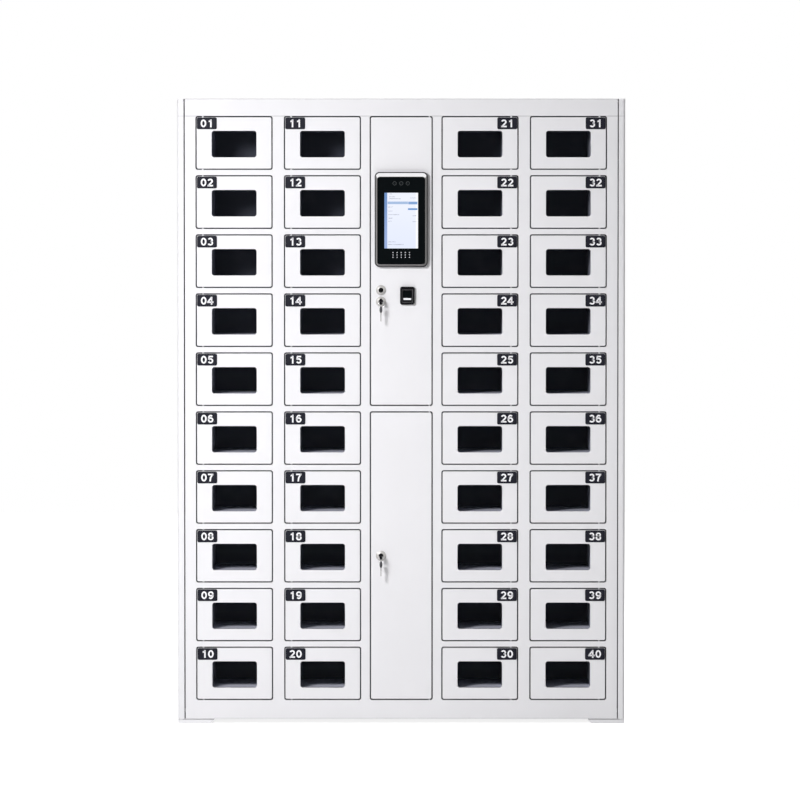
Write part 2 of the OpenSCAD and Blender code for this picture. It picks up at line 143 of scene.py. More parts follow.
class Wire:
    """A shader value that is added, multiplied and compared like a number."""

    def __init__(self, tree, socket=None):
        self.tree = tree
        self.socket = socket

    def node(self, kind, settings=None, sockets=None, output=0):
        """Adds a node with its settings and the values or links of its sockets; gives one output."""
        made = self.tree.nodes.new("ShaderNode" + kind)
        for name, value in (settings or {}).items():
            setattr(made, name, value)
        for name, value in (sockets or {}).items():
            if isinstance(value, Wire):
                self.tree.links.new(value.socket, made.inputs[name])
            else:
                made.inputs[name].default_value = value
        return Wire(self.tree, made.outputs[output])

    def maths(self, operation, *terms):
        return self.node("Math", {"operation": operation}, dict(enumerate(terms)))

    def absolute(self):
        return self.maths("ABSOLUTE", self)

    def or_more(self, other):
        return self.maths("MAXIMUM", self, other)

    def __add__(self, other):
        return self.maths("ADD", self, other)

    def __sub__(self, other):
        return self.maths("SUBTRACT", self, other)

    def __rsub__(self, other):
        return self.maths("SUBTRACT", other, self)

    def __mul__(self, other):
        return self.maths("MULTIPLY", self, other)

    def __gt__(self, other):
        return self.maths("GREATER_THAN", self, other)

    def __lt__(self, other):
        return self.maths("LESS_THAN", self, other)

    __radd__ = __add__
    __rmul__ = __mul__

    def noise(self, scale, detail=2.0):
        """Soft grain over the place that this value holds, about 0.5 in the mean."""
        return self.node("TexNoise", None, {"Vector": self, "Scale": scale, "Detail": detail})

    def part(self, axis):
        return self.node("SeparateXYZ", None, {0: self}, output="XYZ".index(axis))

    def band(self, low, high):
        """1 where this value lies between low and high."""
        return (self > low) * (self < high)

    def rise(self, low, high):
        """0 below low, 1 above high, and smooth between."""
        settings = {"interpolation_type": "SMOOTHSTEP"}
        return self.node("MapRange", settings, {0: self, 1: low, 2: high})

    def tint(self, below, above):
        """The colour (or link) below where this value is 0, above where it is 1."""
        return self.node("Mix", {"data_type": "RGBA"}, {0: self, 6: below, 7: above}, output=2)


class Finish:
    """A material: its principled shader, and the place on the object that its patterns read."""

    def __init__(self, name, **fixed):
        self.material = bpy.data.materials.new(name)
        self.material.use_nodes = True
        tree = self.material.node_tree
        self.shader = tree.nodes["Principled BSDF"]
        for socket, value in fixed.items():
            self.shader.inputs[socket.replace("_", " ")].default_value = value
        self.start = Wire(tree)
        self.place = self.start.node("TexCoord", output="Object")

    def feed(self, socket, wire):
        self.start.tree.links.new(wire.socket, self.shader.inputs[socket])

    def bump(self, height, strength, distance):
        sockets = {"Strength": strength, "Distance": distance, "Height": height}
        self.feed("Normal", self.start.node("Bump", None, sockets))


def shade(value):
    """A grey of that linear brightness."""
    return (value, value, value, 1)


def powder_coat(name, brightness, fold=0.0, shade_groove_only=False, seam=0.0):
    """White powder coat with fine orange peel; folds turned into a gap are darker by that share, as painted
    shade.

    The filled seam between the header and what stands under it shows by the last share.
    """
    coat = Finish(name, IOR=1.5)
    cloud = coat.place.noise(5.5, 3.0)
    peel = coat.place.noise(1150, 2.0)
    wide = coat.place.noise(260, 2.0)
    facing = coat.start.node("TexCoord", output="Normal").part("Y").absolute()
    tone = cloud.rise(0.3, 0.7).tint(shade(brightness * 0.982), shade(brightness))
    height = peel * 0.7 + wide * 0.3
    # Painted shade: faces turned into the gaps round doors and openings are tinted towards near-black by
    # the share fold, standing in for the shade that falls in the gaps.
    if fold:
        turned = (facing < 0.7) * (coat.place.part("Y") > FRONT + 0.12 * MM)
        # Where asked, the painted shade is kept to the groove between the sides and the front.
        if shade_groove_only:
            turned = turned * (coat.place.part("X").absolute() < GRID_HIGH.x + 6 * MM)
        tone = (turned * fold).tint(tone, shade(0.02))
    if seam:
        line = (coat.place.part("Z") - HEADER_SEAM_Z).absolute() < 0.6 * MM
        line = line * (facing > 0.7)
        tone = (line * seam).tint(tone, shade(0.2))
        height = height - line * 1.5
    coat.feed("Base Color", tone)
    coat.feed("Roughness", 0.40 + peel * 0.09 + cloud * 0.06)
    coat.bump(height, 0.22, 0.06 * MM)
    return coat.material


def cell_tone(finish):
    """Grey-blue matt coat of the cells: its colour, with cloudy rubbing."""
    rubbed = finish.place.noise(22, 4.0).rise(0.45, 0.75)
    return rubbed.tint((0.090, 0.098, 0.126, 1), (0.112, 0.120, 0.154, 1))


def cell_lining():
    """The coat inside the cells, with painted light: paler on the side walls and pale on the floors, where
    the light through the windows falls.
    """
    lining = Finish("cell_lining", Specular_IOR_Level=0.12)
    grain = lining.place.noise(900, 2.0)
    facing = lining.start.node("TexCoord", output="Normal").part("Z")
    # Painted light: faces looking up get a pale tone and side walls a mid grey, standing in for the light
    # that falls in through the windows; back and ceiling keep the dark coat.
    floors = grain.tint((0.78, 0.80, 0.90, 1), (0.84, 0.86, 0.96, 1))
    aside = lining.start.node("TexCoord", output="Normal").part("X").absolute()
    walls = (aside > 0.9).tint(cell_tone(lining), (0.38, 0.40, 0.46, 1))
    lining.feed("Base Color", (facing > 0.9).tint(walls, floors))
    lining.feed("Roughness", 0.5 + grain * 0.2)
    lining.bump(grain, 0.2, 0.08 * MM)
    return lining.material


def back_coat():
    """Back panel: white outside, coated like the cells where it closes them."""
    coat = Finish("back_coat", Specular_IOR_Level=0.1)
    inner = coat.place.part("Y") < BACK_LOW.y + 0.3 * MM
    cloud = coat.place.noise(5.5, 3.0)
    peel = coat.place.noise(1150, 2.0)
    white = cloud.rise(0.3, 0.7).tint(shade(0.79), shade(0.80))
    coat.feed("Base Color", inner.tint(white, cell_tone(coat)))
    coat.feed("Roughness", 0.42 + peel * 0.1 + cloud * 0.06)
    coat.bump(peel, 0.22, 0.06 * MM)
    return coat.material


def clear_acrylic():
    """Clear pane: mostly open, with a polished face and a trace of dust."""
    pane = Finish("clear_acrylic", Base_Color=(0.025, 0.028, 0.034, 1), Specular_IOR_Level=0.1, IOR=1.49)
    dust = pane.place.noise(140, 5.0).rise(0.62, 0.85)
    pane.feed("Alpha", 0.04 + dust * 0.03)
    pane.feed("Roughness", 0.04 + dust * 0.2)
    return pane.material


def plate_plastic():
    """Near-black plastic of the number plates."""
    plastic = Finish("plate_plastic", Specular_IOR_Level=0.12)
    grain = plastic.place.noise(1400, 2.0)
    cloud = plastic.place.noise(60, 3.0)
    plastic.feed("Base Color", cloud.tint((0.008, 0.008, 0.013, 1), (0.012, 0.013, 0.021, 1)))
    plastic.feed("Roughness", 0.42 + grain * 0.16)
    plastic.bump(grain, 0.15, 0.04 * MM)
    return plastic.material


def number_print():
    """White print of the figures."""
    print_ink = Finish("number_print")
    grain = print_ink.place.noise(800, 2.0)
    print_ink.feed("Base Color", grain.tint(shade(0.86), shade(0.95)))
    print_ink.feed("Roughness", 0.45 + grain * 0.1)
    return print_ink.material


def metal(name, colour, roughness, metallic=1.0):
    """Bare or plated metal with a fine grain."""
    plate = Finish(name, Metallic=metallic)
    grain = plate.place.noise(900, 3.0)
    cloud = plate.place.noise(45, 3.0)
    deep = tuple(c * 0.9 for c in colour) + (1,)
    plate.feed("Base Color", cloud.tint(deep, tuple(colour) + (1,)))
    plate.feed("Roughness", roughness + (grain - 0.5) * 0.12 + (cloud - 0.5) * 0.08)
    plate.bump(grain, 0.1, 0.03 * MM)
    return plate.material


def plastic(name, colour, roughness, shine=0.15, grain_scale=1200, bump=0.08):
    """Moulded plastic or rubber; shine is the strength of its mirror-like part."""
    body = Finish(name, Specular_IOR_Level=shine)
    grain = body.place.noise(grain_scale, 2.0)
    cloud = body.place.noise(50, 3.0)
    light = tuple(min(1.0, c * 1.25 + 0.002) for c in colour) + (1,)
    body.feed("Base Color", cloud.tint(tuple(colour) + (1,), light))
    body.feed("Roughness", roughness + grain * 0.08 + cloud * 0.05)
    body.bump(grain, bump, 0.03 * MM)
    return body.material


def screen_light(low, high):
    """A lit page with a blue edge, bars and short grey rules between two corners.

    Its places are shares of the page's width from the left, and of its height from the top.
    """
    wide, tall = high.x - low.x, high.z - low.z
    screen = Finish("screen_light", Base_Color=shade(0.02), Roughness=0.2, Specular_IOR_Level=0.05,
                    Emission_Strength=1.0)
    x = (screen.place.part("X") - low.x) * (1 / wide)
    z = (high.z - screen.place.part("Z")) * (1 / tall)
    page = z.rise(0.0, 1.0).tint((0.86, 0.89, 0.99, 1), (0.79, 0.84, 0.985, 1))
    page = x.band(0.93, 1.0).tint(page, (0.955, 0.965, 1.0, 1))
    page = (z.band(0.158, 0.204) * x.band(0.095, 0.70)).tint(page, (0.37, 0.51, 0.75, 1))
    page = (z.band(0.160, 0.208) * x.band(0.71, 0.98)).tint(page, (0.22, 0.37, 0.66, 1))
    page = (z.band(0.278, 0.309) * x.band(0.70, 0.98)).tint(page, (0.12, 0.29, 0.61, 1))
    broken = (screen.place.noise(900, 1.0) > 0.47) * 0.8
    for top, start, end in ((0.014, 0.16, 0.23), (0.066, 0.14, 0.32), (0.100, 0.133, 0.49),
                            (0.086, 0.77, 0.95), (0.249, 0.108, 0.25), (0.322, 0.108, 0.24),
                            (0.387, 0.108, 0.44), (0.450, 0.108, 0.24), (0.504, 0.108, 0.21),
                            (0.407, 0.84, 0.95), (0.512, 0.84, 0.95), (0.875, 0.108, 0.35),
                            (0.923, 0.10, 0.57)):
        page = (z.band(top, top + 0.013) * x.band(start, end) * broken).tint(page, (0.30, 0.32, 0.40, 1))
    stripe = z.rise(0.0, 0.9).tint((0.14, 0.27, 0.55, 1), (0.31, 0.42, 0.71, 1))
    screen.feed("Emission Color", (x < 0.084).tint(page, stripe))
    return screen.material


def painted_floor():
    """Pale floor that looks white to the camera and still takes the locker's shadow."""
    floor = Finish("painted_floor", Roughness=0.9, Emission_Strength=1.0)
    grain = floor.place.noise(40, 3.0)
    floor.feed("Base Color", grain.tint(shade(0.90), shade(0.93)))
    seen = floor.start.node("LightPath", output="Is Camera Ray")
    floor.feed("Emission Color", seen.tint(shade(0.0), shade(0.86)))
    return floor.material


# ---------------------------------------------------------------- workbench

def middle(part):
    """The mean place of a face's or an edge's vertices."""
    return sum((v.co for v in part.verts), Vector()) / len(part.verts)


def choose(*pieces):
    """Selects these pieces and nothing else; the first is the active one."""
    bpy.ops.object.select_all(action="DESELECT")
    for piece in pieces:
        piece.select_set(True)
    bpy.context.view_layer.objects.active = pieces[0]


class Bench:
    """Edit mode on one piece: parts are picked by their place, and operators work on the pick."""

    def __init__(self, piece):
        self.piece = piece

    def __enter__(self):
        choose(self.piece)
        bpy.ops.object.mode_set(mode="EDIT")
        return self

    def __exit__(self, *problem):
        bpy.ops.object.mode_set(mode="OBJECT")

    def everything(self):
        bpy.ops.mesh.select_all(action="SELECT")

    def pick(self, what, wanted):
        """Selects the faces, edges or verts for which wanted(part) is true."""
        bpy.ops.mesh.select_mode(type={"faces": "FACE", "edges": "EDGE", "verts": "VERT"}[what])
        bpy.ops.mesh.select_all(action="DESELECT")
        mesh = bmesh.from_edit_mesh(self.piece.data)
        for part in getattr(mesh, what):
            part.select = bool(wanted(part))
        mesh.select_flush_mode()
        bmesh.update_edit_mesh(self.piece.data)

    def cut(self, axis, places):
        """Cuts the whole mesh square to an axis at each place."""
        for place in places:
            self.everything()
            along = Vector((axis == "X", axis == "Y", axis == "Z"))
            bpy.ops.mesh.bisect(plane_co=along * place, plane_no=along)

    def move(self, **by):
        bpy.ops.transform.translate(value=(by.get("x", 0), by.get("y", 0), by.get("z", 0)))

    def resize(self, about, x=1, y=1, z=1):
        bpy.ops.transform.resize(value=(x, y, z), center_override=about)

    def pull_edges(self, x=0, y=0, z=0):
        bpy.ops.mesh.extrude_edges_move(TRANSFORM_OT_translate={"value": (x, y, z)})

    def pull_faces(self, x=0, y=0, z=0):
        bpy.ops.mesh.extrude_region_move(TRANSFORM_OT_translate={"value": (x, y, z)})

    def round_corners(self, radius, steps=6):
        bpy.ops.mesh.bevel(offset=radius, offset_type="OFFSET", segments=steps, affect="VERTICES")

    def round_edges(self, radius, steps=3):
        bpy.ops.mesh.bevel(offset=radius, offset_type="OFFSET", segments=steps, affect="EDGES")


def add(kind, name, scale=(1, 1, 1), **settings):
    """A primitive as a new piece, with nothing else selected."""
    bpy.ops.object.select_all(action="DESELECT")
    getattr(bpy.ops.mesh, f"primitive_{kind}_add")(**settings)
    piece = bpy.context.object
    piece.name = name
    piece.scale = scale
    return piece


def settle(piece):
    """Puts the piece's place, turn and size into its mesh."""
    choose(piece)
    bpy.ops.object.transform_apply(location=True, rotation=True, scale=True)
    return piece


def modify(piece, kind, **settings):
    """Adds a modifier, sets it and applies it."""
    bpy.context.view_layer.objects.active = piece
    modifier = piece.modifiers.new(kind.lower(), kind)
    for name, value in settings.items():
        setattr(modifier, name, value)
    bpy.ops.object.modifier_apply(modifier=modifier.name)
    return piece


def soften(piece, radius, steps=2, angle=40):
    """Rounds every edge sharper than the angle."""
    return modify(piece, "BEVEL", width=radius, segments=steps, limit_method="ANGLE",
                  angle_limit=math.radians(angle), use_clamp_overlap=True)


def smooth(piece, angle=32):
    """Shades smoothly across every edge flatter than the angle."""
    choose(piece)
    bpy.ops.object.shade_smooth_by_angle(angle=math.radians(angle))
    return piece


def paint(piece, material):
    piece.data.materials.clear()
    piece.data.materials.append(material)
    return piece


def repaint(piece, material, wanted):
    """Gives the faces for which wanted(face) is true a finish of their own."""
    piece.data.materials.append(material)
    piece.active_material_index = len(piece.data.materials) - 1
    with Bench(piece) as bench:
        bench.pick("faces", wanted)
        bpy.ops.object.material_slot_assign()


def join(name, parts):
    """Makes one piece of several; each keeps its finish."""
    choose(*parts)
    if len(parts) > 1:
        bpy.ops.object.join()
    parts[0].name = name
    return parts[0]


def shift(piece, place):
    piece.data.transform(Matrix.Translation(place))
    return piece


def mirror(piece):
    """Turns a piece left to right about the origin."""
    piece.data.transform(Matrix.Diagonal((-1, 1, 1, 1)))
    piece.data.flip_normals()
    return piece


def copy_to(piece, name, place=(0, 0, 0), mirrored=False):
    """A copy with a mesh of its own, mirrored left to right if asked, and moved to a place."""
    twin = bpy.data.objects.new(name, piece.data.copy())
    bpy.context.scene.collection.objects.link(twin)
    if mirrored:
        mirror(twin)
    return shift(twin, place)


def bar(name, low, high, material, soft=0.4 * MM, steps=2):
    """A block from low to high with softened edges."""
    low, high = Vector(low), Vector(high)
    piece = add("cube", name, size=1, location=(low + high) / 2, scale=high - low)
    settle(piece)
    soften(piece, soft, steps)
    smooth(piece)
    return paint(piece, material)


def disc(name, middle_at, radius, depth, material, along="Y", soft=0.3 * MM, sides=48, steps=2):
    """A round bar along Y or Z, centred at a place, with softened rims."""
    piece = add("cylinder", name, vertices=sides, radius=radius, depth=depth, location=middle_at,
                rotation=(math.pi / 2 if along == "Y" else 0, 0, 0))
    settle(piece)
    soften(piece, soft, steps, angle=60)
    smooth(piece)
    return paint(piece, material)


def hoop(at, radius, wire, material, steps, sides):
    """A ring of round wire round the Y axis, centred at a place."""
    piece = add("torus", "hoop", major_radius=radius, minor_radius=wire, major_segments=steps,
                minor_segments=sides, location=at, rotation=(math.pi / 2, 0, 0))
    settle(piece)
    smooth(piece, 60)
    return paint(piece, material)


def carve(piece, cutter):
    """Takes the cutter's form out of a piece, and removes the cutter."""
    modify(piece, "BOOLEAN", operation="DIFFERENCE", object=cutter, solver="EXACT")
    bpy.data.objects.remove(cutter)


def put(piece, body, slot, *nodes):
    """Lets a finished piece ride on a body, and stand for CAD nodes."""
    modify(piece, "WEIGHTED_NORMAL", keep_sharp=True)
    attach(piece, body)
    if nodes:
        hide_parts(*nodes)
    return piece


def facing_sheet(name, wide, tall, at):
    """A flat upright sheet that faces the front, centred at a place."""
    piece = add("plane", name, size=1, rotation=(math.pi / 2, 0, 0), scale=(wide, tall, 1), location=at)
    return settle(piece)


def close_up(bench):
    """Turns every face of the piece on the bench outwards."""
    bench.everything()
    bpy.ops.mesh.normals_make_consistent(inside=False)


def rounded_plate(name, wide, tall, at, deep, corner, steps=6):
    """A plate with round corners, deep from front to back, the middle of its front at a place."""
    piece = facing_sheet(name, wide, tall, at)
    with Bench(piece) as bench:
        bench.pick("verts", lambda v: True)
        bench.round_corners(corner, steps)
        bench.everything()
        bench.pull_faces(y=deep)
        close_up(bench)
    return piece


def folded_sheet(name, wide, tall, holes, fold, lip, corner, hole_corner, material):
    """Sheet metal with rounded holes, folded back by fold at its rim and by lip at its holes.

    It is centred at the origin with its face at y = 0; a hole is (low x, high x, low z, high z).
    """
    piece = facing_sheet(name, wide, tall, (0, 0, 0))

    def in_hole(face):
        spot = middle(face)
        return any(a < spot.x < b and c < spot.z < d for a, b, c, d in holes)

    def rim(edge):
        spot = middle(edge)
        return abs(spot.x) > wide / 2 - 0.1 * MM or abs(spot.z) > tall / 2 - 0.1 * MM

    def hole_corners(vertex):
        return any(min(abs(vertex.co.x - a), abs(vertex.co.x - b)) < 0.01 * MM
                   and min(abs(vertex.co.z - c), abs(vertex.co.z - d)) < 0.01 * MM
                   for a, b, c, d in holes)

    with Bench(piece) as bench:
        if holes:
            bench.cut("X", sorted({round(x, 7) for h in holes for x in h[:2]}))
            bench.cut("Z", sorted({round(z, 7) for h in holes for z in h[2:]}))
            bench.pick("faces", in_hole)
            bpy.ops.mesh.delete(type="FACE")
            bench.pick("verts", hole_corners)
            bench.round_corners(hole_corner)
        if corner:
            bench.pick("verts", lambda v: abs(v.co.x) > wide / 2 - 0.01 * MM
                       and abs(v.co.z) > tall / 2 - 0.01 * MM)
            bench.round_corners(corner)
        near = corner + 0.2 * MM
        bench.pick("edges", lambda e: e.is_boundary and (
            rim(e) or (abs(middle(e).x) > wide / 2 - near and abs(middle(e).z) > tall / 2 - near)))
        bench.pull_edges(y=fold)
        if lip:
            bench.pick("edges", lambda e: e.is_boundary and middle(e).y < 0.01 * MM)
            bench.pull_edges(y=lip)
    modify(piece, "SOLIDIFY", thickness=SHEET, offset=-1, use_even_offset=True)
    soften(piece, 0.45 * MM, 2, angle=50)
    smooth(piece)
    return paint(piece, material)


# ---------------------------------------------------------------- pieces

def front_frame(coat):
    """The folded front with an opening for every door."""
    centre = front_middle(GRID_LOW, GRID_HIGH)
    wide, tall = front_size(GRID_LOW, GRID_HIGH)
    names = [door_name(n) for n in DOORS] + ["upper_service_door", "lower_service_door"]
    holes = []
    for name in names:
        low, high = leaf_box(name)
        holes.append((low.x - DOOR_GAP - centre.x, high.x + DOOR_GAP - centre.x,
                      low.z - DOOR_GAP - centre.z, high.z + DOOR_GAP - centre.z))
    depth = GRID_HIGH.y - GRID_LOW.y
    piece = folded_sheet("front_frame", wide, tall, holes, depth, depth, 0, OPENING_CORNER, coat)
    shift(piece, centre)
    return put(piece, "cabinet", "cabinet_paint", "front_grid")


def hinge_pins(x, back, radius, tall, soft, steel):
    """A pin at both ends of a hinge edge, for a leaf of that height centred at the origin."""
    long = PIN_REACH + DOOR_GAP + 2 * SHEET
    middle_z = tall / 2 + PIN_REACH + DOOR_GAP - long / 2
    return [disc("pin", (x, back, side * middle_z), radius, long, steel, "Z", soft, 24)
            for side in (-1, 1)]


def latch_hook(material):
    """The hook behind a left-hinged door, cut from plate, for the leaf centred at the origin."""
    hook_x, reach, tall, thick = 58.35 * MM, 38 * MM, 14 * MM, 2 * MM
    barb, notch_z, foot_wide = 6 * MM, 1 * MM, 7 * MM
    start = SHEET + SEAM
    piece = add("plane", "hook", size=1, rotation=(math.pi / 2, 0, math.pi / 2),
                scale=(reach - start, tall, 1), location=(hook_x, (reach + start) / 2, 0))
    settle(piece)
    with Bench(piece) as bench:
        bench.cut("Y", (DOOR_FOLD, reach - barb))
        bench.cut("Z", (notch_z,))
        bench.pick("faces", lambda f: DOOR_FOLD < middle(f).y < reach - barb and middle(f).z > notch_z)
        bpy.ops.mesh.delete(type="FACE")
        bench.pick("verts", lambda v: v.co.y > reach - 0.1 * MM)
        bench.round_corners(2 * MM, 4)
        bench.everything()
        bench.pull_faces(x=thick)
        close_up(bench)
    soften(piece, 0.3 * MM)
    smooth(piece)
    paint(piece, material)
    foot = bar("hook_foot", (hook_x - foot_wide, start, -tall / 2),
               (hook_x + thick, start + SHEET, tall / 2), material, 0.3 * MM)
    return [piece, foot]


def phone_leaf(coat, steel):
    """A left-hinged phone door without its number, its leaf centred at the origin."""
    wide, tall = front_size(*leaf_box(door_name(1)))
    half = WINDOW / 2
    window = (-half.x, half.x, -WINDOW_DROP - half.y, -WINDOW_DROP + half.y)
    leaf = folded_sheet("leaf", wide, tall, [window], DOOR_FOLD, 3 * MM, DOOR_CORNER, WINDOW_CORNER, coat)
    pin_in, pin_back, pin_radius = 12 * MM, 5 * MM, 2 * MM
    pins = hinge_pins(pin_in - wide / 2, pin_back, pin_radius, tall, 0.4 * MM, steel)
    return join("phone_leaf", [leaf] + pins + latch_hook(steel))


def number_plate(material):
    """A plate in the upper hinge corner of a left-hinged leaf centred at the origin."""
    wide, tall = front_size(*leaf_box(door_name(1)))
    at = Vector((-wide / 2 + PLATE_INSET + PLATE.x / 2, -SEAM - PLATE_THICK,
                 tall / 2 - PLATE_INSET - PLATE.y / 2))
    piece = rounded_plate("plate", PLATE.x, PLATE.y, at, PLATE_THICK, 3 * MM, 5)
    soften(piece, 0.3 * MM, 2)
    smooth(piece)
    return paint(piece, material), at


def bow_line(x, z, wide, tall, start, end, steps=20):
    """Points along an oval's arc, from one angle to another in degrees."""
    turns = [math.radians(start + (end - start) * i / steps) for i in range(steps + 1)]
    return [(x + wide * math.cos(turn), z + tall * math.sin(turn)) for turn in turns]


def figure_strokes(figure):
    """Middle lines of a bold figure's strokes, in millimetres round the figure's middle."""
    half, rise = 4.0, 6.15
    end = rise + FIGURE_STROKE / 2
    if figure == "0":
        return [bow_line(0, 0, half, rise, 0, 360, 32)]
    if figure == "1":
        return [[(1.4, end), (1.4, -end)], [(1.4, rise - 0.4), (-1.6, rise - 2.3), (-2.9, rise - 2.5)]]
    if figure == "2":
        return [bow_line(0, 2.75, half - 0.2, 3.4, 165, -32) + [(-half + 0.4, -rise)],
                [(-half - 1.3, -rise), (half + 1.5, -rise)]]
    if figure == "3":
        return [bow_line(0, 3.1, half - 0.5, 3.05, 158, -90), bow_line(0, -2.9, half, 3.25, 90, -158)]
    if figure == "4":
        return [[(2.3, end), (2.3, -end)], [(-half - 2.4, -2.9), (half + 2.1, -2.9)],
                [(1.9, rise), (-half - 1.1, -2.9)]]
    if figure == "5":
        return [[(-3.6, rise), (half + 0.9, rise)], [(-2.7, rise), (-3.2, 0)],
                bow_line(0, -2.3, half, 3.85, 142, -155)]
    if figure == "7":
        return [[(-half - 1.3, rise), (half + 1.3, rise)], [(half - 0.1, rise), (0, 0), (-1.3, -end)]]
    if figure == "8":
        return [bow_line(0, 3.2, half - 0.4, 2.95, 0, 360, 28), bow_line(0, -2.95, half, 3.2, 0, 360, 28)]
    strokes = [bow_line(0, -2.45, half, 3.7, 0, 360, 28), bow_line(0.2, 0, half + 0.2, rise, 48, 195)]
    if figure == "6":
        return strokes
    return [[(-x, -z) for x, z in line] for line in strokes]


def ribbon(line):
    """Left and right edges of a flat stroke along a line."""
    shut = math.dist(line[0], line[-1]) < 1e-6
    last = len(line) - 1
    edges = []
    for i, at in enumerate(line):
        ahead = line[1] if shut and i == last else line[min(i + 1, last)]
        behind = line[-2] if shut and i == 0 else line[max(i - 1, 0)]
        along = (Vector(ahead) - Vector(behind)).normalized()
        across = Vector((-along.y, along.x)) * (FIGURE_STROKE / 2)
        edges.append((Vector(at) + across, Vector(at) - across))
    return edges


def figures(text, material):
    """Bold printed figures standing in the XZ plane, centred at the origin, faces at y = 0."""
    print_thick = 0.05 * MM
    corners, faces = [], []
    for place, figure in enumerate(text):
        aside = (place - (len(text) - 1) / 2) * FIGURE_PITCH
        for line in figure_strokes(figure):
            edges = ribbon(line)
            first = len(corners)
            corners += [((spot.x + aside) * MM, 0, spot.y * MM) for pair in edges for spot in pair]
            faces += [(first + 2 * i, first + 2 * i + 1, first + 2 * i + 3, first + 2 * i + 2)
                      for i in range(len(edges) - 1)]
    mesh = bpy.data.meshes.new("figures")
    mesh.from_pydata(corners, [], faces)
    piece = bpy.data.objects.new("figures", mesh)
    bpy.context.scene.collection.objects.link(piece)
    with Bench(piece) as bench:
        bench.everything()
        bpy.ops.mesh.remove_doubles(threshold=0.01 * MM)
        bench.pull_faces(y=-print_thick)
        close_up(bench)
    return paint(piece, material)


def phone_doors(coat, plate_black, ink, steel, acrylic):
    """All forty doors: leaf, plate, number and pane."""
    leaf = phone_leaf(coat, steel)
    plate, plate_at = number_plate(plate_black)
    pane_wide, pane_tall, pane_thick = 100 * MM, 64 * MM, 2 * MM
    pane_y = SHEET + SEAM
    pane = bar("pane", (-pane_wide / 2, pane_y, -WINDOW_DROP - pane_tall / 2),
               (pane_wide / 2, pane_y + pane_thick, -WINDOW_DROP + pane_tall / 2), acrylic, 0.2 * MM)
    for number in DOORS:
        name = door_name(number)
        at = front_middle(*leaf_box(name))
        right = not hinged_left(number)
        sign = -1 if right else 1
        print_at = at + Vector((sign * plate_at.x, plate_at.y, plate_at.z))
        number_ink = shift(figures(f"{number:02d}", ink), print_at)
        piece = join(name + "_leaf", [copy_to(leaf, name + "_leaf", at, right),
                                      copy_to(plate, name + "_plate", at, right), number_ink])
        put(piece, name, "door_paint", name)
        put(copy_to(pane, name + "_pane", at, right), name, "window_pane", name)
    for pattern in (leaf, plate, pane):
        bpy.data.objects.remove(pattern)


def service_door(name, coat, steel):
    """A tall door of the middle column, hinged on its right."""
    wide, tall = front_size(*leaf_box(name))
    leaf = folded_sheet(name + "_leaf", wide, tall, [], DOOR_FOLD, 0, DOOR_CORNER, 0, coat)
    pin_in, pin_back, pin_radius = 4.2 * MM, 3 * MM, 1.5 * MM
    pins = hinge_pins(wide / 2 - pin_in, pin_back, pin_radius, tall, 0.3 * MM, steel)
    piece = shift(join(name + "_leaf", [leaf] + pins), front_middle(*leaf_box(name)))
    return put(piece, name, "door_paint", name)


def side_skin(side, coat):
    """One side panel, folded round a channel at the front, with caps that close the channel."""
    inner, outer = GRID_HIGH.x + GROOVE, SHELL_HIGH.x
    front, back = SHELL_LOW.y, SHELL_HIGH.y
    low_z, high_z = SHELL_LOW.z, SHELL_HIGH.z
    outer_bend, inner_bend, cap_bend, cap_inset = 5 * MM, 1.2 * MM, 4.4 * MM, 0.3 * MM
    piece = facing_sheet("side_skin", outer - inner, high_z - low_z,
                         ((inner + outer) / 2, front, (low_z + high_z) / 2))
    edge = 0.01 * MM
    with Bench(piece) as bench:
        bench.pick("edges", lambda e: abs(middle(e).x - inner) < edge)
        bench.pull_edges(y=LIP_DEPTH)
        bench.pick("edges", lambda e: abs(middle(e).x - outer) < edge and middle(e).y < front + edge)
        bench.pull_edges(y=back - front)
        bench.pick("edges", lambda e: abs(middle(e).x - outer) < edge and len(e.link_faces) == 2)
        bench.round_edges(outer_bend, 8)
        bench.pick("edges", lambda e: abs(middle(e).x - inner) < edge and len(e.link_faces) == 2)
        bench.round_edges(inner_bend, 3)
    modify(piece, "SOLIDIFY", thickness=SHEET, offset=-1, use_even_offset=True)
    soften(piece, 0.4 * MM, 2, angle=50)
    smooth(piece)
    parts = [piece]
    for z in (low_z + cap_inset, high_z - cap_inset - SHEET):
        start, end = inner + 0.5 * SHEET, outer - 0.5 * SHEET
        cap = add("plane", "cap", size=1, location=((start + end) / 2, front + (SHEET + LIP_DEPTH) / 2, z),
                  scale=(end - start, LIP_DEPTH - SHEET, 1))
        settle(cap)
        with Bench(cap) as bench:
            bench.pick("verts", lambda v: v.co.x > outer - SHEET and v.co.y < front + SHEET)
            bench.round_corners(cap_bend, 6)
            bench.everything()
            bench.pull_faces(z=SHEET)
            close_up(bench)
        parts.append(smooth(soften(cap, 0.2 * MM, 1)))
    for part in parts:
        paint(part, coat)
    piece = join("side_skin_left" if side < 0 else "side_skin_right", parts)
    if side < 0:
        mirror(piece)
    return put(piece, "cabinet", "cabinet_paint", "cabinet_shell")


